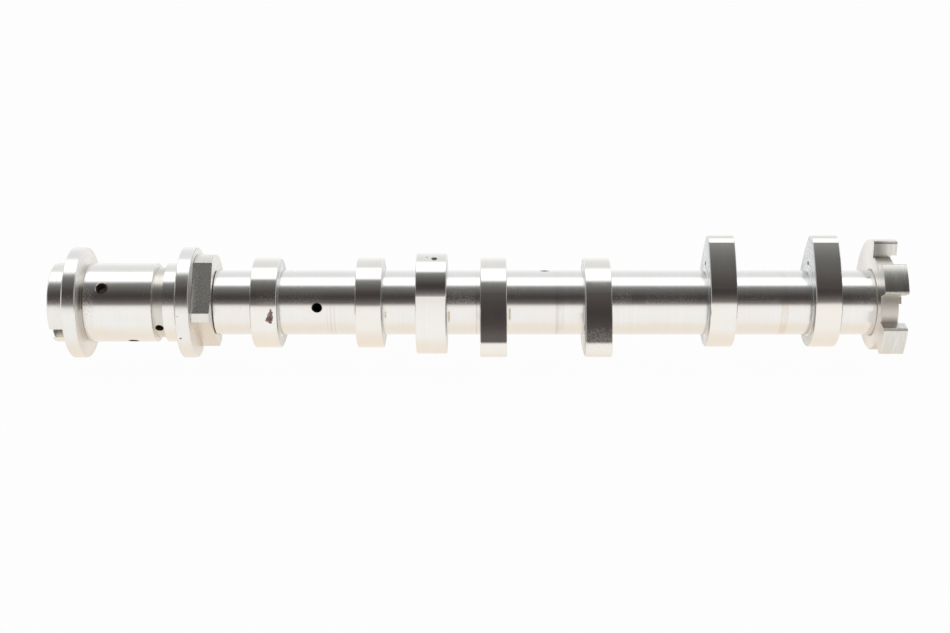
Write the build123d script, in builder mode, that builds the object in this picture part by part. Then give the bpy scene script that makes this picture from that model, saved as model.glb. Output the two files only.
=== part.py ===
from build123d import *

import os
from math import atan2, cos, degrees, hypot, radians, sin, sqrt

# Assembled exhaust camshaft for a three-cylinder engine. Six cam lobes, a three-lobed fuel pump cam
# and a toothed sensor wheel sit pressed on a hollow ground tube. A machined journal piece with two
# thrust flanges and a timing block is pressed into the tube's front end.
#
# Frame: X runs along the shaft towards the sensor wheel and Z is up, with the shaft lying at rest.
# The origin is on the shaft's axis, in the middle of the front journal. Millimetres.
# Angles are in degrees about +X, from +Y towards +Z. Every phase is counted from the noses of
# cylinder 1, so that one value rolls the whole shaft.

# ---- Driving dimensions -------------------------------------------------------------------------

# How the shaft lies: the direction of the noses of cylinder 1
rest_roll = -45.0

# Fits between pressed pieces: line to line
press_clearance = 0.0

# How closely a round edge's radius has to match when it is picked by size
rim_tolerance = 0.001

# Tube
tube_radius = 13.0
tube_bore_radius = 9.5
tube_chamfer = 0.5
tube_oil_hole_radius = 1.9
tube_oil_hole_phases = (204.1, 112.1, -35.9)

# Spigot at the front end, with a slot for the locating pin
spigot_radius = 15.9
spigot_length = 7.4
spigot_edge_radius = 0.6
pin_slot_width = 5.2
pin_slot_depth = 3.0
pin_slot_phase = 246.4

# Thrust flanges
flange_radius = 22.4
flange_width = 5.5
flange_chamfer = 0.4

# Front journal between the flanges, with a grinding relief beside each flange and an oil groove
journal_radius = 15.9
journal_width = 39.0
relief_width = 1.4
relief_depth = 0.5
oil_groove_start = 8.9
oil_groove_width = 4.5
oil_groove_depth = 1.8
oil_groove_corner = 0.3

# Oil holes of the front journal: distance along the axis, phase, radius
hole_countersink = 0.25
journal_oil_holes = (
    (-10.8, 173.6, 2.25),
    (-0.6, 274.1, 2.2),
    (oil_groove_start + oil_groove_width / 2, 241.1, 1.65),
)

# Timing block: a round collar with three milled flats. Each flat's phase and distance from the axis
block_radius = 19.4
block_length = 7.5
block_edge_radius = 0.4
block_flats = ((173.6, 16.1), (262.4, 13.9), (353.6, 16.1))

# Bore of the journal piece: wide for the control valve, then a narrow oil passage through the shank
valve_bore_radius = 10.5
valve_bore_chamfer = 1.0
valve_bore_floor = 16.0
valve_bore_cone = 3.0
oil_passage_radius = 5.0
shank_length = 16.0
shank_chamfer = 0.8

# Cylinders and their cam lobes: a pair for each cylinder
cylinder_pitch = 91.0
block_to_first_cylinder = 41.85
cylinder_phases = (0.0, 240.0, 120.0)
lobe_offset = 20.75
lobe_width = 10.5
lobe_edge = 0.3
lobe_bore_chamfer = 0.5

# Outline of a lobe, each side the same: a nose, a flank arc, and a ramp arc that leaves the base
# circle at an angle off the nose. The ramp's centre lies behind the axis, so it is the wider arc
base_circle_radius = 18.0
nose_radius = 6.0
nose_centre_radius = 21.8
flank_radius = 72.0
ramp_centre_offset = 2.0
ramp_angle = 110.0

# Locating dimple in the front face of each lobe
dimple_radius = 1.0
dimple_depth = 0.5
dimple_circle_radius = 16.0
dimple_phase = -6.5

# Fuel pump cam between cylinders 1 and 2: three noses joined by wide flank arcs
pump_cam_width = 12.2
pump_cam_phase = 144.1
pump_nose_count = 3
pump_nose_radius = 16.0
pump_flank_radius = 80.0
pump_flank_distance = 18.7
pump_mark_radius = 1.2
pump_mark_floor = 20.2
pump_mark_offset = 1.2
pump_mark_phase = 138.6

# Sensor wheel: a ring with teeth that reach past its rear face, and a small lug on that face.
# Each tooth's phase and sweep
last_cylinder_to_wheel = 40.9
wheel_ring_radius = 19.1
wheel_ring_width = 7.0
wheel_ring_chamfer = 0.4
wheel_bore_chamfer = 0.8
tooth_tip_radius = 25.5
tooth_lip_radius = 19.8
tooth_overhang = 2.4
tooth_root_bite = 2.0
tooth_corner = 1.0
teeth = ((29.1, 93.0), (157.1, 29.7), (218.6, 30.2))
wheel_lug_phase = 186.8
wheel_lug_angle = 9.3
wheel_lug_height = 1.5
wheel_lug_overhang = 0.95

# Cup plug in the rear end of the tube
plug_recess = 1.0
plug_depth = 5.5
plug_wall = 1.4
plug_corner = 0.9

# ---- Stations along the axis --------------------------------------------------------------------

front_flange_rear = -journal_width / 2
front_flange_front = front_flange_rear - flange_width
front_end = front_flange_front - spigot_length
rear_flange_front = journal_width / 2
rear_flange_rear = rear_flange_front + flange_width
block_end = rear_flange_rear + block_length
shank_end = block_end + shank_length
shank_radius = tube_bore_radius - press_clearance

first_cylinder = block_end + block_to_first_cylinder
cylinders = [first_cylinder + i * cylinder_pitch for i in range(len(cylinder_phases))]
pump_cam_station = (cylinders[0] + cylinders[1]) / 2
wheel_front = cylinders[-1] + last_cylinder_to_wheel
wheel_rear = wheel_front + wheel_ring_width
pressed_bore_radius = tube_radius + press_clearance


def turned(phase):
    """Angle about +X of a phase, as the shaft lies."""
    return rest_roll + phase


def across(phase, radius):
    """Point of a cross-section at a phase and a distance from the axis."""
    angle = radians(turned(phase))
    return (radius * cos(angle), radius * sin(angle))


def cross_plane(station, phase):
    """Plane across the shaft, with its first direction at a phase and its normal along the shaft."""
    y, z = across(phase, 1)
    return Plane(origin=(station, 0, 0), x_dir=(0, y, z), z_dir=(1, 0, 0))


def drilling_plane(station, phase, radius):
    """Plane that touches the shaft at a phase, with its normal pointing away from the axis."""
    y, z = across(phase, radius)
    return Plane(origin=(station, y, z), x_dir=(1, 0, 0), z_dir=(0, y, z))


def lengthwise_plane(phase):
    """Plane through the axis, with X along the shaft and its second direction at a phase."""
    y, z = across(phase, 1)
    return Plane(origin=(0, 0, 0), x_dir=(1, 0, 0), z_dir=(0, -z, y))


def outer_edges(faces):
    """Edges of the outer outlines of some faces."""
    return [edge for face in faces for edge in face.outer_wire().edges()]


def rims(piece, radius):
    """Round edges of a piece that have a given radius."""
    circles = piece.edges().filter_by(GeomType.CIRCLE)
    return [edge for edge in circles if abs(edge.radius - radius) < rim_tolerance]


def from_axis(point):
    """Distance of a point from the shaft's axis."""
    return hypot(point.Y, point.Z)


def write(piece, name):
    """Label a finished piece and write its STEP file."""
    piece.label = name
    export_step(piece, f"parts/{name}.step")


os.makedirs("parts", exist_ok=True)

# ---- Front journal piece ------------------------------------------------------------------------

relief_radius = journal_radius - relief_depth
groove_floor_radius = journal_radius - oil_groove_depth
oil_groove_end = oil_groove_start + oil_groove_width

with BuildPart() as front_journal:
    with BuildSketch(Plane.XY) as turned_profile:
        with BuildLine():
            Polyline(
                (front_end, 0),
                (front_end, spigot_radius),
                (front_flange_front, spigot_radius),
                (front_flange_front, flange_radius - flange_chamfer),
                (front_flange_front + flange_chamfer, flange_radius),
                (front_flange_rear - flange_chamfer, flange_radius),
                (front_flange_rear, flange_radius - flange_chamfer),
                (front_flange_rear, relief_radius),
                (front_flange_rear + relief_width - relief_depth, relief_radius),
                (front_flange_rear + relief_width, journal_radius),
                (oil_groove_start, journal_radius),
                (oil_groove_start, groove_floor_radius),
                (oil_groove_end, groove_floor_radius),
                (oil_groove_end, journal_radius),
                (rear_flange_front - relief_width, journal_radius),
                (rear_flange_front - relief_width + relief_depth, relief_radius),
                (rear_flange_front, relief_radius),
                (rear_flange_front, flange_radius - flange_chamfer),
                (rear_flange_front + flange_chamfer, flange_radius),
                (rear_flange_rear - flange_chamfer, flange_radius),
                (rear_flange_rear, flange_radius - flange_chamfer),
                (rear_flange_rear, block_radius),
                (block_end, block_radius),
                (block_end, shank_radius),
                (shank_end - shank_chamfer, shank_radius),
                (shank_end, shank_radius - shank_chamfer),
                (shank_end, 0),
                (front_end, 0),
            )
        make_face()
        for corner, corner_radius in (
            ((front_end, spigot_radius), spigot_edge_radius),
            ((block_end, block_radius), block_edge_radius),
            ((oil_groove_start, groove_floor_radius), oil_groove_corner),
            ((oil_groove_end, groove_floor_radius), oil_groove_corner),
        ):
            fillet(turned_profile.vertices().sort_by_distance(corner)[0], corner_radius)
    revolve(axis=Axis.X)

    # Valve bore, its conical floor and the oil passage through the shank
    valve_bore_end = block_end - valve_bore_floor
    with BuildSketch(Plane.XY) as bore_profile:
        with BuildLine():
            Polyline(
                (front_end, 0),
                (front_end, valve_bore_radius + valve_bore_chamfer),
                (front_end + valve_bore_chamfer, valve_bore_radius),
                (valve_bore_end, valve_bore_radius),
                (valve_bore_end + valve_bore_cone, oil_passage_radius),
                (shank_end, oil_passage_radius),
                (shank_end, 0),
                close=True,
            )
        make_face()
    revolve(axis=Axis.X, mode=Mode.SUBTRACT)

    # Slot for the locating pin, along the whole spigot
    with BuildSketch(Plane.YZ.offset(front_end)) as pin_slot:
        with PolarLocations(spigot_radius, 1, start_angle=turned(pin_slot_phase)):
            Rectangle(2 * pin_slot_depth, pin_slot_width)
    extrude(amount=spigot_length, mode=Mode.SUBTRACT)

    # Milled flats of the timing block
    with BuildSketch(Plane.YZ.offset(rear_flange_rear)) as flats:
        for flat_phase, flat_distance in block_flats:
            with PolarLocations(flat_distance + block_radius / 2, 1, start_angle=turned(flat_phase)):
                Rectangle(block_radius, 2 * block_radius)
    extrude(amount=block_length, mode=Mode.SUBTRACT)

    # Oil holes through the journal's wall
    for hole_station, hole_phase, hole_radius in journal_oil_holes:
        with Locations(drilling_plane(hole_station, hole_phase, journal_radius)):
            CounterSinkHole(hole_radius, hole_radius + hole_countersink, depth=journal_radius)

write(front_journal.part, "front_journal")

# ---- Tube ---------------------------------------------------------------------------------------

with BuildPart() as shaft_tube:
    with BuildSketch(Plane.YZ.offset(block_end)) as tube_section:
        Circle(tube_radius)
        Circle(tube_bore_radius, mode=Mode.SUBTRACT)
    extrude(amount=wheel_rear - block_end)
    tube_ends = [shaft_tube.faces().sort_by(Axis.X)[i] for i in (0, -1)]
    chamfer(outer_edges(tube_ends), tube_chamfer)
    for station, hole_phase in zip(cylinders, tube_oil_hole_phases):
        with Locations(drilling_plane(station, hole_phase, tube_radius)):
            CounterSinkHole(
                tube_oil_hole_radius,
                tube_oil_hole_radius + hole_countersink,
                depth=tube_radius,
            )

write(shaft_tube.part, "shaft_tube")


# ---- Cam lobes ----------------------------------------------------------------------------------

# Each flank arc wraps the nose and the ramp and touches both, so its centre lies at known distances
# from their centres. Here the nose points along +X and the ramp is the one on the +Y side.
ramp_radius = base_circle_radius + ramp_centre_offset
ramp_centre = Vector(-ramp_centre_offset, 0).rotate(Axis.Z, ramp_angle)
nose_centre = Vector(nose_centre_radius, 0)
ramp_to_nose = nose_centre - ramp_centre
flank_to_ramp = flank_radius - ramp_radius
flank_to_nose = flank_radius - nose_radius
foot = (flank_to_ramp**2 - flank_to_nose**2 + ramp_to_nose.length**2) / (2 * ramp_to_nose.length)
flank_centre = (
    ramp_centre
    + ramp_to_nose.normalized() * foot
    + ramp_to_nose.cross(Vector(0, 0, 1)).normalized() * sqrt(flank_to_ramp**2 - foot**2)
)


def direction(vector):
    """Angle of a vector from +X towards +Y."""
    return degrees(atan2(vector.Y, vector.X))


nose_sweep = direction(nose_centre - flank_centre)
flank_sweep = direction(ramp_centre - flank_centre) - nose_sweep
ramp_sweep = ramp_angle - flank_sweep - nose_sweep


def cam_lobe(station, phase):
    """One lobe, its nose at a phase, with a locating dimple in its front face."""
    front_face = station - lobe_width / 2
    with BuildPart() as lobe:
        with BuildSketch(cross_plane(front_face, phase)):
            with BuildLine():
                CenterArc(nose_centre, nose_radius, 0, nose_sweep)
                CenterArc(flank_centre, flank_radius, nose_sweep, flank_sweep)
                CenterArc(ramp_centre, ramp_radius, ramp_angle - ramp_sweep, ramp_sweep)
                CenterArc((0, 0), base_circle_radius, ramp_angle, 180 - ramp_angle)
                mirror(about=Plane.XZ)
            make_face()
        extrude(amount=lobe_width)
        chamfer(outer_edges(lobe.faces().filter_by(Axis.X)), lobe_edge)
        with BuildSketch(Plane.YZ.offset(front_face)):
            Circle(pressed_bore_radius)
        extrude(amount=lobe_width, mode=Mode.SUBTRACT)
        chamfer(rims(lobe, pressed_bore_radius), lobe_bore_chamfer)
        with BuildSketch(Plane.YZ.offset(front_face)):
            with Locations(across(phase + dimple_phase, dimple_circle_radius)):
                Circle(dimple_radius)
        extrude(amount=dimple_depth, mode=Mode.SUBTRACT)
    return lobe.part


for number, (station, phase) in enumerate(zip(cylinders, cylinder_phases), start=1):
    write(cam_lobe(station - lobe_offset, phase), f"lobe_{number}_front")
    write(cam_lobe(station + lobe_offset, phase), f"lobe_{number}_rear")

# ---- Fuel pump cam ------------------------------------------------------------------------------

# Each flank is an arc of a disc whose centre lies across the axis, behind the opposite nose
flank_centre_radius = pump_flank_radius - pump_flank_distance
pump_cam_front = pump_cam_station - pump_cam_width / 2

with BuildPart() as pump_cam:
    with BuildSketch(Plane.YZ.offset(pump_cam_front)) as pump_profile:
        for i in range(pump_nose_count):
            nose_angle = turned(pump_cam_phase + i * 360 / pump_nose_count)
            with PolarLocations(flank_centre_radius, 1, start_angle=nose_angle):
                Circle(pump_flank_radius, mode=Mode.INTERSECT if i else Mode.ADD)
        fillet(pump_profile.vertices(), pump_nose_radius)
    extrude(amount=pump_cam_width)
    chamfer(outer_edges(pump_cam.faces().filter_by(Axis.X)), lobe_edge)
    with BuildSketch(Plane.YZ.offset(pump_cam_front)) as pump_bore:
        Circle(pressed_bore_radius)
    extrude(amount=pump_cam_width, mode=Mode.SUBTRACT)
    chamfer(rims(pump_cam, pressed_bore_radius), lobe_bore_chamfer)
    mark_plane = drilling_plane(pump_cam_station + pump_mark_offset, pump_mark_phase, pump_mark_floor)
    with BuildSketch(mark_plane) as mark:
        Circle(pump_mark_radius)
    extrude(amount=pump_flank_radius - pump_mark_floor, mode=Mode.SUBTRACT)

write(pump_cam.part, "pump_cam")

# ---- Sensor wheel -------------------------------------------------------------------------------

with BuildPart() as sensor_wheel:
    with BuildSketch(Plane.YZ.offset(wheel_front)) as ring_section:
        Circle(wheel_ring_radius)
    extrude(amount=wheel_ring_width)
    chamfer(sensor_wheel.edges(), wheel_ring_chamfer)
    for tooth_phase, tooth_sweep in teeth:
        with BuildSketch(lengthwise_plane(tooth_phase)) as tooth_profile:
            with BuildLine():
                Polyline(
                    (wheel_front, wheel_ring_radius - tooth_root_bite),
                    (wheel_front, tooth_tip_radius),
                    (wheel_rear + tooth_overhang, tooth_tip_radius),
                    (wheel_rear + tooth_overhang, tooth_lip_radius),
                    (wheel_rear, tooth_lip_radius),
                    (wheel_rear, wheel_ring_radius - tooth_root_bite),
                    close=True,
                )
            make_face()
        revolve(axis=Axis.X, revolution_arc=tooth_sweep)
    lug_outer_radius = wheel_ring_radius - wheel_ring_chamfer
    with BuildSketch(lengthwise_plane(wheel_lug_phase)) as lug_profile:
        with BuildLine():
            Polyline(
                (wheel_rear - wheel_lug_overhang, lug_outer_radius - wheel_lug_height),
                (wheel_rear - wheel_lug_overhang, lug_outer_radius),
                (wheel_rear + wheel_lug_overhang, lug_outer_radius),
                (wheel_rear + wheel_lug_overhang, lug_outer_radius - wheel_lug_height),
                close=True,
            )
        make_face()
    revolve(axis=Axis.X, revolution_arc=wheel_lug_angle)
    tip_edges = [
        edge
        for edge in sensor_wheel.edges().filter_by(Axis.X)
        if from_axis(edge @ 0) > tooth_tip_radius - rim_tolerance
    ]
    fillet(tip_edges, tooth_corner)
    with BuildSketch(Plane.YZ.offset(wheel_front)) as wheel_bore:
        Circle(pressed_bore_radius)
    extrude(amount=wheel_ring_width, mode=Mode.SUBTRACT)
    chamfer(rims(sensor_wheel, pressed_bore_radius), wheel_bore_chamfer)

write(sensor_wheel.part, "sensor_wheel")

# ---- Rear plug ----------------------------------------------------------------------------------

with BuildPart() as rear_plug:
    with BuildSketch(Plane.YZ.offset(wheel_rear - plug_recess - plug_depth)) as plug_disc:
        Circle(tube_bore_radius - press_clearance)
    extrude(amount=plug_depth)
    fillet(rear_plug.edges().sort_by(Axis.X)[0], plug_corner)
    offset(amount=-plug_wall, openings=rear_plug.faces().sort_by(Axis.X)[-1])

write(rear_plug.part, "rear_plug")
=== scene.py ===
from math import cos, radians, sin
from types import SimpleNamespace

import bpy
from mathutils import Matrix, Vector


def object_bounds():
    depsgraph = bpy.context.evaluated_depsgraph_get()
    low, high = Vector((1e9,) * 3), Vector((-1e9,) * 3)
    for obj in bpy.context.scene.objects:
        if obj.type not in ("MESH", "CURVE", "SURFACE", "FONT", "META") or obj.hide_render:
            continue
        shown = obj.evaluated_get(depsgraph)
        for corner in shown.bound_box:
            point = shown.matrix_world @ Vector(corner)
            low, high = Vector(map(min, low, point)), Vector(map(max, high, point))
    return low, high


# Looks of an assembled camshaft that lies on a white table under a long overhead softbox.
# The scene is in metres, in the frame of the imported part: X along the shaft, Z up, the origin on the
# axis. Places on the shaft are given as on a drawing: stations along X and distances in millimetres,
# and angles about X in degrees, from +Y towards +Z. A band of stations or radii and a sweep of angles are
# given by their middle, their half width and the width over which their edges fade.

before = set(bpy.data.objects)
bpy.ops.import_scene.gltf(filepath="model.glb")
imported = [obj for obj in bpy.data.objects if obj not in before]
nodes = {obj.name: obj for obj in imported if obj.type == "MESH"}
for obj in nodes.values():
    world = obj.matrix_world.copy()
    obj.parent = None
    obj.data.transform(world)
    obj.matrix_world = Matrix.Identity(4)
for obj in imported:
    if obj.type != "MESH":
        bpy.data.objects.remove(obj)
cad_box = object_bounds()

# One millimetre
MM = 0.001

# ---- Room ---------------------------------------------------------------------------------------

# Camera: how far it stands from the shaft's axis, how high it looks down, where it stands along the
# shaft, the nearest thing it shows, and its lens
camera_distance = 620 * MM
camera_height_angle = 30.9
camera_station = 141.25 * MM
camera_near_limit = 10 * MM
sensor_width_mm = 36.0
focal_length_px = 1527.3

# Picture in pixels: its size, and where the camera's point on the shaft's axis lies in it
picture_width, picture_height = 950, 633
axis_column, axis_row = 485.0, 302.3

# Table: half its width, its gap below the shaft, how much of it is plain white to the camera, and how
# much of its reflection in the steel is the painted tone of its shaded strip
plain_white = "#FFFFFF"
table_half_width = 1.6
table_clearance = 0.02 * MM
table_white_share = 0.96
painted_mirror_share = 0.97

# Painted shade in the table's reflection: a warm strip along the shaft, where the shaft shades the table.
# Half its width, and its tones outwards from under the axis, each as a share of that half width and a
# colour
shaded_strip_half_width = 40 * MM
painted_strip_tones = ((0.0, "#FBF5ED"), (0.35, "#FBF2E6"), (0.6, "#FCF5EB"), (1.0, "#FFFEFC"))

# What the polished steel sees, by the angle round the X axis: 0 is the horizon on the camera's side,
# 90 is overhead and half a turn is the horizon behind the shaft. Each stop: angle, colour, strength
room_stops = (
    (0, "#FFFEFC", 1.0),
    (12, "#FCFAF7", 1.0),
    (19, "#F4F1EE", 1.0),
    (22, "#B4AFAD", 1.0),
    (25, "#7A7574", 1.0),
    (33, "#5F5A58", 1.0),
    (42, "#464140", 1.0),
    (50, "#403C3B", 1.0),
    (58, "#4B4746", 1.0),
    (66, "#5B5857", 1.0),
    (76, "#6A6A69", 1.0),
    (86, "#808282", 1.0),
    (90, "#969999", 1.0),
    (94, "#FFFFFF", 1.0),
    (98, "#FFFFFF", 1.4),
    (125, "#FFFFFF", 1.4),
    (131, "#FFFFFF", 1.0),
    (136, "#E6E8EA", 1.0),
    (150, "#E8EBEC", 1.0),
    (168, "#F0F3F4", 1.0),
    (180, "#FCFEFF", 1.0),
)
half_turn = 180

# Walls beyond the shaft's two ends, and how far along X a direction has to point to see them begin and
# to see them alone
end_wall_colour = "#A3A2A1"
end_wall_start, end_wall_full = 0.72, 0.93

# ---- Places on the shaft ------------------------------------------------------------------------

# Front journal: stations of its surfaces from the front end to the end of the timing block, and the
# radii of the journal and of the block
front_end = -32.4
front_flange = (-25.0, -19.5)
journal = (-18.1, 18.1)
oil_groove = (8.9, 13.4)
rear_flange = (19.5, 25.0)
block_end = 32.5
journal_radius = 15.9
block_radius = 19.4

# Oil holes: station, angle, radius
journal_oil_holes = ((-10.8, 128.6, 2.25), (-0.6, 229.1, 2.2), (11.15, 196.1, 1.65))
tube_oil_holes = ((74.35, 159.1, 1.9), (165.35, 67.1, 1.9), (256.35, -80.9, 1.9))

# How far the painted shade of a hole or a bore goes past its radius, so that its wall is dark all round
hole_margin = 0.06

# Bores: the radius of the journal piece's control valve bore, and the depths at which the painted shade
# starts in it and is full, then the same for the tube's bore, from the tube's rear end
valve_bore_radius = 10.5
valve_bore_shade = (1.5, 13.0)
tube_bore_radius = 9.5
tube_rear_end = 304.25
tube_bore_shade = (1, 3)

# Open chamfer of the tube where it meets the timing block
tube_chamfer = 0.5

# Lobes: the direction of each cylinder's noses, their base circle, and the locating dimple in their
# front faces: how far it lags behind the nose, the circle it lies on, and its radius
nose_angles = (-45.0, 195.0, 75.0)
base_circle_radius = 18.0
dimple_lag = 6.5
dimple_circle_radius = 16.0
dimple_radius = 1.05

# Sensor wheel: radii of its ring and of its teeth, and the band of radii of the teeth's broken corners
wheel_ring_radius = 19.1
tooth_tip_radius = 25.5
broken_corner = (tooth_tip_radius - 0.5, 0.46, 0.02)

# How far off a surface's own radius or station a point may lie and still count as on it
surface_margin = 0.1

# Angles run once round from straight below the axis
lowest_angle, whole_turn = -90.0, 360.0

# ---- Oil, wear, dirt and painted shade ----------------------------------------------------------

# Films of dried oil where the bearings' edges ran on the tube: station, half width, share, colour
bearing_films = (
    (78.3, 0.15, 0.2, "#D8CBC3"),
    (79.7, 0.2, 0.3, "#D8CBC3"),
    (81.2, 0.2, 0.2, "#D8CBC3"),
    (137.9, 0.12, 0.5, "#CDBFB4"),
    (169.9, 0.4, 0.45, "#D2C9BF"),
    (171.4, 1.3, 0.25, "#D8CFC3"),
    (260.6, 1.3, 0.4, "#E0CDB6"),
)

# Films: the width of their faded edges, the angles over which they come to their full strength, and
# how much of it they have before
film_softness = 0.35
film_growth = (125.0, 165.0)
film_faint_share = 0.25

# Short tan lines of dried oil beside three lobes: station, angle, half length in degrees
oil_lines = ((101.6, 172.0, 5.0), (126.9, 176.0, 9.0), (151.1, 171.5, 10.0))

# Tan lines: half width, the width over which their sides and, in degrees, their ends fade, and share
oil_line_half_width, oil_line_softness, oil_line_end_softness = 0.2, 0.3, 3.0
oil_line_share = 0.7

# Rubbed zones, which catch stray light: station, half length, angle, half sweep, strength
tube_rubs = (
    (132.0, 4.0, 140.0, 7.0, 0.8),
    (196.0, 2.0, 141.0, 7.0, 0.6),
    (215.0, 9.0, 143.0, 8.0, 0.35),
    (68.0, 7.0, 141.0, 8.0, 0.3),
    (250.0, 8.0, 143.0, 8.0, 0.25),
    (292.0, 3.0, 143.0, 8.0, 0.3),
)
journal_rubs = ((-16.2, 0.8, 160.0, 26.0, 0.7), (15.5, 2.0, 143.0, 8.0, 0.3))
lobe_rubs = (
    ((55.5, 2.5, 144.0, 5.0, 0.5),),
    (
        (186.1, 4.4, 174.0, 6.0, 0.3),
        (186.1, 4.4, 186.0, 8.0, 0.7),
        (187.0, 2.0, 123.0, 5.0, 0.3),
        (144.6, 4.0, 168.0, 12.0, 0.3),
    ),
    ((277.1, 4.0, 128.0, 18.0, 0.25),),
)

# The width over which a rubbed zone's edges fade, in mm along the shaft and in degrees round it
rub_softness, rub_sweep_softness = 3.0, 8.0

# Specks of dirt: station, angle, radius of the circle they lie on, half size, strength
journal_specks = (
    (21.1, 188.8, 22.4, 0.45, 0.8),
    (20.7, 163.7, 22.4, 0.25, 0.6),
    (20.9, 176.0, 22.4, 0.2, 0.3),
)
lobe_specks = ((), ((189.4, 176.5, 22.0, 0.5, 0.8),), ())
pump_cam_specks = ((118.1, 90.2, 21.0, 0.45, 0.4),)

# A speck fades out from the second of these shares of its half size to the first
speck_edges = (1.4, 0.7)

# Painted shade in the corner behind the front flange: stations, how far out from the journal it thins
# away, angles, share
flange_shade_band = (front_flange[1] + 0.7, 0.75, 0.1)
flange_shade_reach = 3.0
flange_shade_sweep = (143.0, 12.0, 10.0)
flange_shade_share = 0.45

# Painted shade in the corner between the rear flange and the timing block: stations, angles, share
block_shade_band = (rear_flange[1] + 0.05, 0.1, 0.1)
block_shade_sweep = (120.0, 50.0, 10.0)
block_shade_share = 0.7

# Milled flat under the timing block, with a warmer painted shade for its reflection of the shaded table:
# its angles, and the length over which that shade starts
lower_flat_sweep = (217.4, 44.0, 0.5)
lower_flat_softness = 0.1

# Painted shade on the cams' faces, along the front of their rim: the distances from the axis between which
# it grows, angles, share
cam_shade_radii = (13.5, 17.0)
cam_shade_sweep = (172.0, 13.0, 12.0)
cam_shade_share = 0.75

# Painted shade in the joint between the timing block and the tube: the stations where it ends and where it
# is full, share
joint_shade = (block_end + tube_chamfer + surface_margin, block_end + 0.5 * tube_chamfer)
joint_shade_share = 0.9

# Painted shade at the end of the wheel's wide tooth, darker towards the ring: angles, the stations where it
# ends and where it is full, at the ring, and share
tooth_shade_sweep = (77.1, 2.0, 2.0)
tooth_shade_stations = (303.6, 298.8)
tooth_shade_share = 0.65

# Ink mark on the first lobe: the corners of a leaf-shaped patch as station and angle, how far its edge
# wanders, its softness, its share where it is thin, and the levels of the smear's noise at which it is
# thin and at which it is full
ink_corners = ((56.76, 157.0), (57.6, 164.0), (57.68, 170.1), (56.48, 177.6), (54.43, 173.2), (55.3, 165.5))
ink_wander = 2.2
ink_softness = 0.12
ink_thin_share = 0.7
ink_thinning = (0.65, 0.4)

# ---- Patterns of the finishes -------------------------------------------------------------------

# Noise: the size of its grains in mm along X, Y and Z, its detail and its roughness. Grinding lines,
# tool lines, draw lines and scratches are 0.05 to 0.2 mm apart on real steel, and specks are as fine.
# They are drawn 0.45 to 0.8 mm wide, so that they show. noise_middle is the level it wavers about.
noise_middle = 0.5
grinding_lines = ((0.7, 60, 60), 3.0, 0.65)
grinding_waves = ((5, 90, 90), 1.0, 0.5)
face_speckle = ((0.7, 0.7, 0.7), 2.0, 0.75)
wheel_streaks = ((0.6, 12, 12), 3.0, 0.65)
draw_lines = ((8, 0.8, 0.8), 2.0, 0.6)
dirt_edge = ((0.5, 0.5, 0.5), 2.0, 0.7)
ink_smear = ((1.0, 0.8, 0.8), 3.0, 0.7)

# Rings of a facing cut: the same, with sizes along the radius in mm, round the axis in degrees, along X
turning_rings = ((0.6, 60, 50), 2.0, 0.6)

# Patches: the same as noise, then the levels of the noise where a patch starts and where it is full
fine_specks = ((0.6, 0.6, 0.6), 2.0, 0.75, 0.5, 0.68)
worn_specks = ((0.45, 0.45, 0.45), 3.0, 0.8, 0.42, 0.66)
scuffed_areas = ((16, 9, 9), 2.0, 0.5, 0.54, 0.7)
scratches = ((0.5, 5, 2.5), 3.0, 0.7, 0.56, 0.72)
oily_areas = ((14, 7, 7), 3.0, 0.5, 0.35, 0.7)
film_areas = ((3, 8, 8), 2.0, 0.5, 0.2, 0.65)
line_breaks = ((3, 1.2, 1.2), 2.0, 0.5, 0.25, 0.5)
turned_marks = ((0.9, 6, 6), 3.0, 0.7, 0.35, 0.7)
wheel_clouds = ((5, 4, 4), 3.0, 0.6, 0.35, 0.65)

# Direction and angle in radians by which handling scratches lie across the shaft
scratch_axis, scratch_turn = (0.4, 0.8, 0.45), 0.9

# Weights of the two noises in a pattern: fine and broad grinding lines, tool rings and speckle
line_weights = (0.7, 0.3)
ring_weights = (0.4, 0.6)

# Levels of a pattern at which its darker and its lighter colour are pure
line_levels = (0.3, 0.7)
ring_levels = (0.36, 0.64)

# Height of the finest relief, in mm: grinding lines on round surfaces, tool lines on faces, the wheel
grinding_relief = 0.0012
tool_relief = 0.004
wheel_relief = 0.0006

# Faces: how far along X a normal points where a surface starts to count as a face and where it is
# wholly one, and past how far the face is sure to look to the rear
face_lean = (0.8, 0.95)
rear_lean = 0.5

# Streaks: how far the rings on a face draw its reflections out, and the turn from along the rings to
# across them, as a share of a whole turn
ring_streaks = 0.85
streak_turn = 0.25

# ---- Colours and roughness ----------------------------------------------------------------------

# Steels: colours of the round surfaces between the grinding lines, on them, and of a faint oily tint,
# and colours of the faces between the tool lines and on them
tube_colours = (("#F0EFED", "#F5F4F2", "#F3EEE8"), ("#BDBDBC", "#DADAD8"))
journal_colours = (("#F1F0EE", "#F5F4F2", "#F3EEE7"), ("#E8E5E1", "#F6F4F2"))
lobe_colours = (("#F2F0EC", "#F5F3F0", "#F4EDE5"), ("#AEB3B6", "#E6E9EB"))
pump_cam_colours = (("#F1F0ED", "#F5F4F1", "#F4EEE8"), ("#AEB3B6", "#E6E9EB"))

# Roughness of the steels: round the axis and on the faces
tube_roughness = (0.18, 0.4)
cam_roughness = (0.12, 0.27)
journal_face_roughness = 0.4

# How much of the oily tint shows, and what scuffs, specks and grinding lines add to the roughness
oil_tint_share = 0.5
scuff_roughness, speck_roughness, line_roughness = 0.16, 0.04, 0.06

# Sensor wheel: colours of its faces and of its rims between the streaks and on them, of the clouds on
# its faces, of the milled floor between the teeth, and of the painted shade on the wide tooth
wheel_face_colours = ("#E6E4E1", "#F0EEEC")
wheel_rim_colours = ("#DCD9D4", "#ECEAE5")
wheel_cloud_colour, wheel_cloud_share = "#DFDAD4", 0.4
wheel_floor_colour = "#E8E3DA"
tooth_shade_colour = "#7D7C79"

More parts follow.
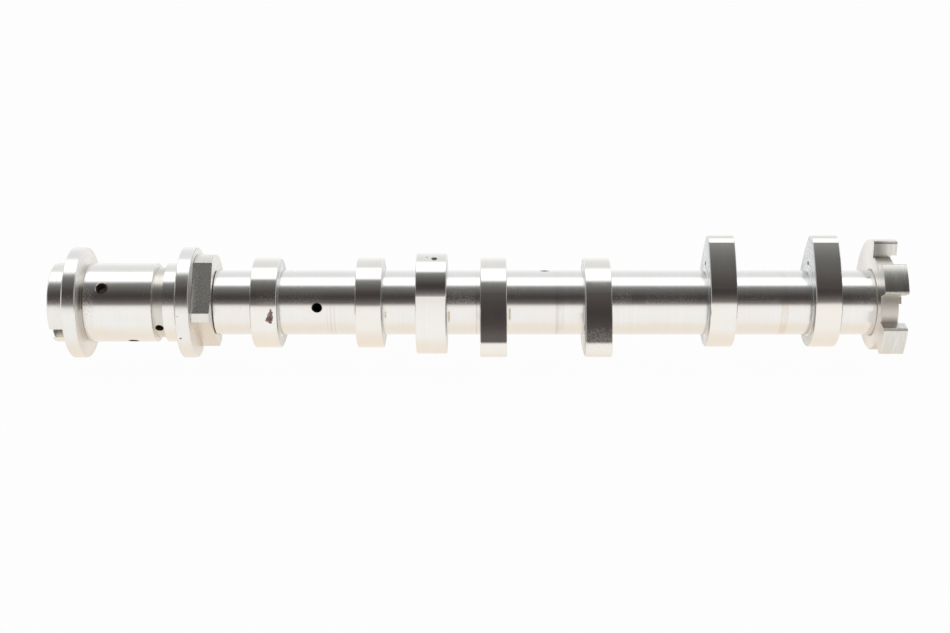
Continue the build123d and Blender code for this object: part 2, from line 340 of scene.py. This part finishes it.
# Sensor wheel's roughness, and what streaks, the milled floor and the broken corners add to it
wheel_roughness = 0.27
streak_roughness, floor_roughness, corner_roughness = 0.03, 0.18, 0.45

# Rear plug: colours between the draw lines and on them, roughness, and what the lines add to it
plug_colours = ("#C4C4C2", "#DAD9D6")
plug_roughness, draw_line_roughness = 0.28, 0.12

# Journal piece: its surfaces from front to rear, each with the station where it starts, its roughness,
# how far its finish is still as turned, and how far it is darkened by oil in its tool marks
journal_zones = (
    (front_end, 0.2, 0.3, 0.0),
    (front_flange[0], 0.18, 0.1, 0.0),
    (front_flange[1], 0.2, 0.6, 0.5),
    (journal[0], 0.16, 0.0, 0.0),
    (oil_groove[0], 0.27, 0.9, 0.5),
    (oil_groove[1], 0.16, 0.0, 0.0),
    (journal[1], 0.28, 0.8, 0.3),
    (rear_flange[0], 0.18, 0.15, 0.0),
    (rear_flange[1], 0.25, 0.5, 0.2),
)

# Journal piece: colours of the oil in its tool marks, of the painted shade on its lower milled flat and of
# the painted shade behind its front flange, and the share of a turned finish that shows in the tool marks
tool_mark_oil_colour = "#C9C5B8"
lower_flat_shade_colour = "#E8DFD4"
flange_shade_colour = "#857B74"
turned_share = 0.5

# Turned steel, stains, and painted shade in holes, gaps, corners and on the cams' faces: colour and
# roughness
turned_steel = ("#DDD8CF", 0.34)
painted_hole_shade = ("#8C837E", 0.6)
painted_gap_shade = ("#3A3432", 0.6)
painted_corner_shade = ("#3A3432", 0.5)
speck_dirt = ("#5B504B", 0.5)
tan_oil = ("#D8BE8E", 0.45)
painted_cam_shade = ("#625B56", 0.35)
ink = ("#72575A", 0.5)

# Roughness of a rubbed spot
rubbed_roughness = 0.5


# ---- Shader nodes -------------------------------------------------------------------------------


def linear(hex_colour):
    """A colour written as sRGB hex, as the linear RGBA that shaders take."""
    channels = [int(hex_colour[i : i + 2], 16) / 255 for i in (1, 3, 5)]
    return [c / 12.92 if c <= 0.04045 else ((c + 0.055) / 1.055) ** 2.4 for c in channels] + [1.0]


def grey(level):
    """A linear grey of a given level."""
    return [level, level, level, 1.0]


def add(tree, kind, *inputs, named=None, stops=(), **settings):
    """Adds a shader node with its settings and links, and gives its first open output. Inputs go in
    order to the sockets that the settings leave open, or by name: each is a value, a link or None.
    stops are a colour ramp's places and linear colours."""
    node = tree.nodes.new("ShaderNode" + kind)
    for name, value in settings.items():
        setattr(node, name, value)
    pairs = list(zip([socket for socket in node.inputs if socket.enabled], inputs))
    pairs += [(node.inputs[name], value) for name, value in (named or {}).items()]
    for socket, value in pairs:
        if isinstance(value, bpy.types.NodeSocket):
            tree.links.new(value, socket)
        elif value is not None:
            socket.default_value = value
    if stops:
        elements = node.color_ramp.elements
        while len(elements) < len(stops):
            elements.new(0.5)
        for element, (place, colour) in zip(elements, stops):
            element.position = place
            element.color = colour
    return next((socket for socket in node.outputs if socket.enabled), None)


def both(tree, *shares):
    """What several shares have in common: their product."""
    result, *others = shares
    for share in others:
        result = add(tree, "Math", result, share, operation="MULTIPLY")
    return result


def either(tree, *shares):
    """What any of several shares covers: the largest."""
    result, *others = shares
    for share in others:
        result = add(tree, "Math", result, share, operation="MAXIMUM")
    return result


def distance(tree, along, across):
    """Distance of a point from the middle of a plane: the root of the sum of two squares."""
    squares = add(tree, "Math", both(tree, along, along), both(tree, across, across), operation="ADD")
    return add(tree, "Math", squares, 0.5, operation="POWER")


def fade(tree, value, start, end):
    """0 where a value is below start, 1 where it is past end, and smooth between. start may be larger."""
    low, high = min(start, end), max(start, end)
    ends = (0.0, 1.0) if start < end else (1.0, 0.0)
    return add(tree, "MapRange", value, low, high, *ends, interpolation_type="SMOOTHSTEP")


def near(tree, value, centre, half_width, softness):
    """1 where a value lies within half a width of a centre, fading to 0 over the softness."""
    offset = add(tree, "Math", value, centre, operation="SUBTRACT")
    away = add(tree, "Math", offset, operation="ABSOLUTE")
    return fade(tree, away, half_width + softness, half_width)


def grain(tree, vector, sizes, detail, roughness):
    """Noise from 0 to 1 whose grains have given sizes in mm along the axes of a vector in mm."""
    scaled = add(tree, "VectorMath", vector, [1 / size for size in sizes], operation="MULTIPLY")
    return add(tree, "TexNoise", scaled, 1.0, detail, roughness)


def patches(tree, vector, sizes, detail, roughness, start, full):
    """Share of ragged patches: 0 where the noise is below start and 1 where it is past full."""
    return fade(tree, grain(tree, vector, sizes, detail, roughness), start, full)


# ---- Room: sky, table and camera ----------------------------------------------------------------


def room_light():
    """World: a long softbox overhead, a dim room in front above the table and pale walls behind."""
    world = bpy.data.worlds.new("studio room")
    bpy.context.scene.world = world
    world.use_nodes = True
    tree = world.node_tree
    tree.nodes.clear()
    direction = add(tree, "TexCoord").node.outputs["Generated"]
    x, y, z = add(tree, "SeparateXYZ", direction).node.outputs
    angle = add(tree, "Math", z, both(tree, y, -1.0), operation="ARCTAN2")
    turn = add(tree, "Math", angle, radians(half_turn), operation="DIVIDE")
    brightest = max(strength for place, colour, strength in room_stops)
    tones, levels = [], []
    for place, colour, strength in room_stops:
        tones.append((place / half_turn, linear(colour)))
        levels.append((place / half_turn, grey(strength / brightest)))
    colours = add(tree, "ValToRGB", turn, stops=tones)
    level = add(tree, "ValToRGB", turn, stops=levels)
    sidewards = fade(tree, add(tree, "Math", x, operation="ABSOLUTE"), end_wall_start, end_wall_full)
    seen_colour = add(tree, "Mix", sidewards, colours, linear(end_wall_colour), data_type="RGBA")
    power = add(tree, "Mix", sidewards, level, grey(1 / brightest), data_type="RGBA")
    lit = add(tree, "Background", seen_colour, both(tree, power, brightest))
    white = add(tree, "Background", linear(plain_white), 1.0)
    seen = add(tree, "LightPath").node.outputs["Is Camera Ray"]
    add(tree, "OutputWorld", add(tree, "MixShader", seen, lit, white))


def table():
    """White table top: a flat square just under the lowest point of the shaft. The steel sees it as a glow
    with a painted warm shade near the shaft, where the shaft shades the table."""
    level = cad_box[0][2] - table_clearance
    w = table_half_width
    mesh = bpy.data.meshes.new("table")
    mesh.from_pydata([(-w, -w, level), (w, -w, level), (w, w, level), (-w, w, level)], [], [(0, 1, 2, 3)])
    top = bpy.data.objects.new("table", mesh)
    bpy.context.scene.collection.objects.link(top)
    paint = bpy.data.materials.new("white table")
    paint.use_nodes = True
    tree = paint.node_tree
    tree.nodes.clear()
    place = add(tree, "TexCoord").node.outputs["Object"]
    x, y, z = add(tree, "SeparateXYZ", place).node.outputs
    away = add(tree, "Math", y, operation="ABSOLUTE")
    off_axis = add(tree, "Math", away, shaded_strip_half_width, operation="DIVIDE")
    tone = add(tree, "ValToRGB", off_axis, stops=[(share, linear(c)) for share, c in painted_strip_tones])
    matt = add(tree, "BsdfDiffuse", linear(plain_white), 0.0)
    bare = add(tree, "Emission", linear(plain_white), 1.0)
    # Glow that the steel sees in place of the table, with a painted warm shade near the shaft
    painted_mirror_tone = add(tree, "Emission", tone, 1.0)
    light = add(tree, "LightPath").node.outputs
    in_view = both(tree, light["Is Camera Ray"], table_white_share)
    mirrored = both(tree, light["Is Glossy Ray"], painted_mirror_share)
    mixed = add(tree, "MixShader", in_view, matt, bare)
    add(tree, "OutputMaterial", add(tree, "MixShader", mirrored, mixed, painted_mirror_tone))
    mesh.materials.append(paint)


def camera():
    """Camera that looks down on the shaft from the side, across the axis."""
    tilt = radians(camera_height_angle)
    data = bpy.data.cameras.new("camera")
    data.sensor_width = sensor_width_mm
    data.lens = focal_length_px * sensor_width_mm / picture_width
    data.shift_x = (picture_width / 2 - axis_column) / picture_width
    data.shift_y = (axis_row - picture_height / 2) / picture_width
    data.clip_start = camera_near_limit
    view = bpy.data.objects.new("camera", data)
    bpy.context.scene.collection.objects.link(view)
    view.location = (camera_station, -camera_distance * cos(tilt), camera_distance * sin(tilt))
    view.rotation_euler = (radians(90) - tilt, 0, 0)
    bpy.context.scene.camera = view


# ---- What a finish reads ------------------------------------------------------------------------


def surface(tree):
    """What a finish reads at a point: its place in mm, x, y, z, its distance from the axis and its
    angle from -90 to 270 degrees. side is 1 on faces square to the axis, round is 1 elsewhere, lean is
    above 0 on faces that look to the rear, and around is the direction round the axis."""
    coordinates = add(tree, "TexCoord").node.outputs
    place = add(tree, "VectorMath", coordinates["Object"], 1 / MM, operation="SCALE")
    x, y, z = add(tree, "SeparateXYZ", place).node.outputs
    turn = both(tree, add(tree, "Math", z, y, operation="ARCTAN2"), 1 / radians(1))
    below = both(tree, add(tree, "Math", turn, lowest_angle, operation="LESS_THAN"), whole_turn)
    lean = add(tree, "SeparateXYZ", coordinates["Normal"])
    side = fade(tree, add(tree, "Math", lean, operation="ABSOLUTE"), *face_lean)
    return SimpleNamespace(
        place=place,
        x=x,
        y=y,
        z=z,
        radius=distance(tree, y, z),
        angle=add(tree, "Math", turn, below, operation="ADD"),
        lean=lean,
        side=side,
        round=add(tree, "Math", 1.0, side, operation="SUBTRACT"),
        around=add(tree, "CombineXYZ", 0.0, both(tree, z, -1.0), y),
    )


def drilled(tree, at, holes):
    """1 inside drilled holes, each at a station and an angle with a radius: on the hole's side of the
    axis, and no farther than that from the hole's own line."""
    inside = []
    for station, angle, radius in holes:
        out_y, out_z = cos(radians(angle)), sin(radians(angle))
        outward = add(tree, "Math", both(tree, at.y, out_y), both(tree, at.z, out_z), operation="ADD")
        beside = add(tree, "Math", both(tree, at.z, out_y), both(tree, at.y, out_z), operation="SUBTRACT")
        along = add(tree, "Math", at.x, station, operation="SUBTRACT")
        gap = distance(tree, along, beside)
        within = add(tree, "Math", gap, radius + hole_margin, operation="LESS_THAN")
        inside.append(both(tree, within, add(tree, "Math", outward, 0.0, operation="GREATER_THAN")))
    return either(tree, *inside)


def patch(tree, x, y, corners, softness):
    """1 inside a convex patch of a plane, given by its corners in turn, and 0 outside."""
    sides = []
    for (x0, y0), (x1, y1) in zip(corners, corners[1:] + corners[:1]):
        length = ((x1 - x0) ** 2 + (y1 - y0) ** 2) ** 0.5
        slope_x, slope_y = (y0 - y1) / length, (x1 - x0) / length
        reach = add(tree, "Math", both(tree, x, slope_x), both(tree, y, slope_y), operation="ADD")
        reach = add(tree, "Math", reach, x0 * slope_x + y0 * slope_y, operation="SUBTRACT")
        sides.append(fade(tree, reach, -softness, softness))
    return both(tree, *sides)


# ---- Marks that finishes share ------------------------------------------------------------------


def ground_lines(tree, at):
    """Cylindrical grinding: fine lines round the axis over broader waves."""
    fine = both(tree, grain(tree, at.place, *grinding_lines), line_weights[0])
    broad = both(tree, grain(tree, at.place, *grinding_waves), line_weights[1])
    return add(tree, "Math", fine, broad, operation="ADD")


def turned_lines(tree, at):
    """Facing cut on a lathe: rings round the axis, broken by a coarse speckle."""
    ring_place = add(tree, "CombineXYZ", at.radius, at.angle, at.x)
    rings = both(tree, grain(tree, ring_place, *turning_rings), ring_weights[0])
    speckle = both(tree, grain(tree, at.place, *face_speckle), ring_weights[1])
    return add(tree, "Math", rings, speckle, operation="ADD")


def scuffs(tree, at):
    """Handling scuffs: short scratches in patches, as a share that stays 0 over most of a surface."""
    bent = add(tree, "VectorRotate", at.place, (0, 0, 0), scratch_axis, scratch_turn)
    return both(tree, patches(tree, at.place, *scuffed_areas), patches(tree, bent, *scratches))


def round_and_face(tree, at, round_colours, face_colours, round_roughness, face_roughness):
    """Colour, roughness and relief of a piece that is ground all round and turned on its faces."""
    lines = ground_lines(tree, at)
    rings = turned_lines(tree, at)
    low, high, tint = (linear(colour) for colour in round_colours)
    round_colour = add(tree, "Mix", fade(tree, lines, *line_levels), low, high, data_type="RGBA")
    oiled = both(tree, patches(tree, at.place, *oily_areas), oil_tint_share)
    round_colour = add(tree, "Mix", oiled, round_colour, tint, data_type="RGBA")
    dark, light = (linear(colour) for colour in face_colours)
    face_colour = add(tree, "Mix", fade(tree, rings, *ring_levels), dark, light, data_type="RGBA")
    scuffed = both(tree, scuffs(tree, at), scuff_roughness)
    specked = both(tree, patches(tree, at.place, *fine_specks), speck_roughness)
    marks = add(tree, "Math", scuffed, specked, operation="ADD")
    wave = both(tree, add(tree, "Math", lines, noise_middle, operation="SUBTRACT"), line_roughness)
    rough = add(tree, "Math", round_roughness, marks, operation="ADD")
    rough = add(tree, "Math", rough, wave, operation="ADD")
    colour = add(tree, "Mix", at.side, round_colour, face_colour, data_type="RGBA")
    roughness = add(tree, "Mix", at.side, rough, face_roughness)
    relief = add(tree, "Mix", at.side, both(tree, lines, grinding_relief), both(tree, rings, tool_relief))
    return colour, roughness, relief


def tinted(tree, share, colour, tint):
    """Colour with some share of a tint over it."""
    return add(tree, "Mix", share, colour, linear(tint), data_type="RGBA")


def stained(tree, share, colour, roughness, stain):
    """Colour and roughness with some share of a stain over them."""
    stain_colour, stain_roughness = stain
    return tinted(tree, share, colour, stain_colour), add(tree, "Mix", share, roughness, stain_roughness)


def rubbed(tree, at, zones, roughness):
    """Roughness with fine specks of wear in some zones, which catch stray light in dark reflections."""
    shares = []
    for station, half_length, angle, half_sweep, strength in zones:
        along = near(tree, at.x, station, half_length, rub_softness)
        around = near(tree, at.angle, angle, half_sweep, rub_sweep_softness)
        shares.append(both(tree, along, around, strength))
    share = both(tree, either(tree, *shares), patches(tree, at.place, *worn_specks))
    return add(tree, "Mix", share, roughness, rubbed_roughness)


def dirtied(tree, at, spots, colour, roughness):
    """Colour and roughness with small ragged specks of dirt."""
    ragged = add(tree, "Math", grain(tree, at.place, *dirt_edge), noise_middle, operation="SUBTRACT")
    for station, angle, radius, half_size, strength in spots:
        along = add(tree, "Math", at.x, station, operation="SUBTRACT")
        around = both(tree, add(tree, "Math", at.angle, angle, operation="SUBTRACT"), radians(radius))
        gap = distance(tree, along, around)
        reach = add(tree, "Math", gap, both(tree, ragged, half_size), operation="ADD")
        outer, inner = (half_size * edge for edge in speck_edges)
        share = both(tree, fade(tree, reach, outer, inner), strength)
        colour, roughness = stained(tree, share, colour, roughness, speck_dirt)
    return colour, roughness


def shaded_cam_face(tree, at, colour, roughness):
    """Colour and roughness with a painted shade on a cam's faces, along the front of their rim."""
    grown = fade(tree, at.radius, *cam_shade_radii)
    share = both(tree, at.side, grown, near(tree, at.angle, *cam_shade_sweep), cam_shade_share)
    return stained(tree, share, colour, roughness, painted_cam_shade)


# ---- Finishes -----------------------------------------------------------------------------------


def finish(name, paint, *details, face_streaks=0.0):
    """Material of a bare steel. paint gives its colour, roughness and relief in mm from a place and
    some details. The rings that a lathe leaves on its faces draw reflections out across the rings, by
    the given share."""
    material = bpy.data.materials.new(name)
    material.use_nodes = True
    tree = material.node_tree
    tree.nodes.clear()
    at = surface(tree)
    colour, roughness, relief = paint(tree, at, *details)
    bump = add(tree, "Bump", named={"Strength": 1.0, "Distance": MM, "Height": relief})
    values = {"Base Color": colour, "Metallic": 1.0, "Roughness": roughness, "Normal": bump}
    if face_streaks:
        space = {"vector_type": "VECTOR", "convert_from": "OBJECT", "convert_to": "WORLD"}
        along_rings = add(tree, "VectorTransform", at.around, **space)
        values["Tangent"] = add(tree, "VectorMath", along_rings, operation="NORMALIZE")
        values["Anisotropic"] = both(tree, at.side, face_streaks)
        values["Anisotropic Rotation"] = streak_turn
    add(tree, "OutputMaterial", add(tree, "BsdfPrincipled", named=values))
    return material


def ground_tube(tree, at):
    """Cold-drawn steel tube, ground between centres: nearly a mirror, with fine lines round it, faint
    films where the bearings' edges ran, thin tan lines of dried oil and a few rubbed zones."""
    colour, roughness, relief = round_and_face(tree, at, *tube_colours, *tube_roughness)
    growth = add(tree, "Mix", fade(tree, at.angle, *film_growth), film_faint_share, 1.0)
    patchy = both(tree, patches(tree, at.place, *film_areas), growth)
    for station, half_width, strength, film in bearing_films:
        share = both(tree, near(tree, at.x, station, half_width, film_softness), patchy, strength)
        colour = tinted(tree, share, colour, film)
    broken = patches(tree, at.place, *line_breaks)
    for station, angle, half_length in oil_lines:
        width = near(tree, at.x, station, oil_line_half_width, oil_line_softness)
        length = near(tree, at.angle, angle, half_length, oil_line_end_softness)
        share = both(tree, width, length, broken, oil_line_share)
        colour, roughness = stained(tree, share, colour, roughness, tan_oil)
    roughness = rubbed(tree, at, tube_rubs, roughness)
    # Painted shade in the joint between the timing block and the tube
    painted_joint_shade = both(tree, fade(tree, at.x, *joint_shade), joint_shade_share)
    colour, roughness = stained(tree, painted_joint_shade, colour, roughness, painted_gap_shade)
    # Painted shade inside the oil holes and deep in the bore
    in_bore = add(tree, "Math", at.radius, tube_bore_radius + hole_margin, operation="LESS_THAN")
    deep = fade(tree, at.x, *(tube_rear_end - depth for depth in tube_bore_shade))
    dark = either(tree, drilled(tree, at, tube_oil_holes), both(tree, in_bore, deep))
    return *stained(tree, dark, colour, roughness, painted_hole_shade), relief


def machined_journal(tree, at):
    """Machined journal piece: the journal and the flanges' rims ground bright, the spigot, block and
    oil groove left as turned and milled, with oil in their tool marks."""
    span = block_end - front_end
    along = add(tree, "Math", at.x, front_end, operation="SUBTRACT")
    along = add(tree, "Math", along, span, operation="DIVIDE")
    by_zone = []
    for column in (1, 2, 3):
        stops = [((zone[0] - front_end) / span, grey(zone[column])) for zone in journal_zones]
        by_zone.append(add(tree, "ValToRGB", along, stops=stops))
        by_zone[-1].node.color_ramp.interpolation = "CONSTANT"
    base_roughness, turned, oily = by_zone
    colour, roughness, relief = round_and_face(
        tree, at, *journal_colours, base_roughness, journal_face_roughness
    )
    share = both(tree, turned, patches(tree, at.place, *turned_marks), turned_share)
    colour, roughness = stained(tree, share, colour, roughness, turned_steel)
    colour = tinted(tree, both(tree, oily, at.round), colour, tool_mark_oil_colour)
    roughness = rubbed(tree, at, journal_rubs, roughness)
    colour, roughness = dirtied(tree, at, journal_specks, colour, roughness)
    # Painted shade in the corner behind the front flange
    painted_flange_shade = both(
        tree,
        near(tree, at.x, *flange_shade_band),
        fade(tree, at.radius, journal_radius + flange_shade_reach, journal_radius),
        near(tree, at.angle, *flange_shade_sweep),
        flange_shade_share,
    )
    colour = tinted(tree, painted_flange_shade, colour, flange_shade_colour)
    # Painted shade: a warmer tone on the lower milled flat, for its reflection of the shaded table
    lower_flat_shade = both(
        tree,
        fade(tree, at.x, rear_flange[1], rear_flange[1] + lower_flat_softness),
        near(tree, at.angle, *lower_flat_sweep),
        add(tree, "Math", at.radius, block_radius - surface_margin, operation="LESS_THAN"),
        at.round,
    )
    colour = tinted(tree, lower_flat_shade, colour, lower_flat_shade_colour)
    # Painted shade in the corner between the rear flange and the timing block
    corner = both(
        tree,
        near(tree, at.x, *block_shade_band),
        near(tree, at.angle, *block_shade_sweep),
        at.round,
        block_shade_share,
    )
    colour, roughness = stained(tree, corner, colour, roughness, painted_corner_shade)
    # Painted shade inside the valve bore and the oil holes
    in_bore = both(
        tree,
        add(tree, "Math", at.radius, valve_bore_radius + hole_margin, operation="LESS_THAN"),
        fade(tree, at.x, *(front_end + depth for depth in valve_bore_shade)),
        add(tree, "Math", at.x, block_end - surface_margin, operation="LESS_THAN"),
    )
    dark = either(tree, drilled(tree, at, journal_oil_holes), in_bore)
    return *stained(tree, dark, colour, roughness, painted_hole_shade), relief


def ink_share(tree, at):
    """Share of a smeared ink mark: a leaf-shaped patch, unrolled on the base circle, with a ragged edge
    that follows the smear and thin places in it."""
    around = both(tree, at.angle, radians(base_circle_radius))
    corners = tuple((station, radians(angle) * base_circle_radius) for station, angle in ink_corners)
    smear = grain(tree, at.place, *ink_smear)
    wander = both(tree, add(tree, "Math", smear, noise_middle, operation="SUBTRACT"), ink_wander)
    ragged = add(tree, "Math", at.x, wander, operation="ADD")
    thicker = both(tree, fade(tree, smear, *ink_thinning), 1.0 - ink_thin_share)
    thick = add(tree, "Math", ink_thin_share, thicker, operation="ADD")
    return both(tree, patch(tree, ragged, around, corners, ink_softness), thick)


def ground_lobe(tree, at, number, nose_angle):
    """Hardened cam steel, ground on its outline and turned on its sides: the sharpest mirror on the
    shaft, between satin grey faces. The first lobe carries a smeared ink mark."""
    colour, roughness, relief = round_and_face(tree, at, *lobe_colours, *cam_roughness)
    colour, roughness = shaded_cam_face(tree, at, colour, roughness)
    roughness = rubbed(tree, at, lobe_rubs[number - 1], roughness)
    colour, roughness = dirtied(tree, at, lobe_specks[number - 1], colour, roughness)
    if number == 1:
        colour, roughness = stained(tree, ink_share(tree, at), colour, roughness, ink)
    # Painted shade in the locating dimple on the front face
    dimple_angle = radians(nose_angle - dimple_lag)
    away_y = add(tree, "Math", at.y, dimple_circle_radius * cos(dimple_angle), operation="SUBTRACT")
    away_z = add(tree, "Math", at.z, dimple_circle_radius * sin(dimple_angle), operation="SUBTRACT")
    inside = add(tree, "Math", distance(tree, away_y, away_z), dimple_radius, operation="LESS_THAN")
    dark = both(tree, inside, add(tree, "Math", at.lean, rear_lean, operation="LESS_THAN"))
    return *stained(tree, dark, colour, roughness, painted_gap_shade), relief


def ground_pump_cam(tree, at):
    """Hardened cam steel of the pump cam, ground like the lobes: the same sharp mirror between satin
    grey faces, with a faint speck of dirt on one nose."""
    colour, roughness, relief = round_and_face(tree, at, *pump_cam_colours, *cam_roughness)
    colour, roughness = shaded_cam_face(tree, at, colour, roughness)
    return *dirtied(tree, at, pump_cam_specks, colour, roughness), relief


def machined_wheel(tree, at):
    """Steel of the sensor wheel, turned and milled: a soft mirror, streaked round the axis on its rim,
    cloudy on its faces, rougher on the milled floor between the teeth and dull on their broken corners,
    with a painted shade at the end of the wide tooth, darker towards the ring."""
    streaks = grain(tree, at.place, *wheel_streaks)
    mix = fade(tree, streaks, *line_levels)
    face, rim = (
        add(tree, "Mix", mix, linear(dark), linear(light), data_type="RGBA")
        for dark, light in (wheel_face_colours, wheel_rim_colours)
    )
    cloud = both(tree, patches(tree, at.place, *wheel_clouds), wheel_cloud_share)
    face = tinted(tree, cloud, face, wheel_cloud_colour)
    low = add(tree, "Math", at.radius, wheel_ring_radius + surface_margin, operation="LESS_THAN")
    floor = both(tree, low, at.round)
    rim = tinted(tree, floor, rim, wheel_floor_colour)
    # Painted shade at the end of the wide tooth
    painted_tooth_shade = both(
        tree,
        near(tree, at.angle, *tooth_shade_sweep),
        fade(tree, at.x, *tooth_shade_stations),
        add(tree, "Math", at.radius, wheel_ring_radius, operation="GREATER_THAN"),
        tooth_shade_share,
    )
    rim = tinted(tree, painted_tooth_shade, rim, tooth_shade_colour)
    colour = add(tree, "Mix", at.side, rim, face, data_type="RGBA")
    broken = both(tree, near(tree, at.radius, *broken_corner), at.round)
    roughness = wheel_roughness
    for share, rise in ((mix, streak_roughness), (floor, floor_roughness), (broken, corner_roughness)):
        roughness = add(tree, "Math", roughness, both(tree, share, rise), operation="ADD")
    return colour, roughness, both(tree, streaks, wheel_relief)


def drawn_plug(tree, at):
    """Deep-drawn sheet steel of the rear plug: satin, with faint draw lines along the shaft."""
    lines = grain(tree, at.place, *draw_lines)
    dark, light = (linear(colour) for colour in plug_colours)
    colour = add(tree, "Mix", lines, dark, light, data_type="RGBA")
    roughness = add(tree, "Math", plug_roughness, both(tree, lines, draw_line_roughness), operation="ADD")
    return colour, roughness, both(tree, lines, grinding_relief)


def dress(node_name, material):
    """Puts a finish on a CAD node."""
    for slot in nodes[node_name].material_slots:
        slot.material = material


room_light()
table()
camera()

dress("shaft_tube", finish("ground tube steel", ground_tube))
dress("front_journal", finish("machined journal steel", machined_journal, face_streaks=ring_streaks))
dress("pump_cam", finish("ground pump cam steel", ground_pump_cam, face_streaks=ring_streaks))
dress("sensor_wheel", finish("machined wheel steel", machined_wheel, face_streaks=ring_streaks))
dress("rear_plug", finish("drawn plug steel", drawn_plug))
for cylinder, angle in enumerate(nose_angles, start=1):
    name = f"ground cam steel {cylinder}"
    cam_steel = finish(name, ground_lobe, cylinder, angle, face_streaks=ring_streaks)
    for end in ("front", "rear"):
        dress(f"lobe_{cylinder}_{end}", cam_steel)

bpy.context.scene.view_settings.view_transform = "Standard"
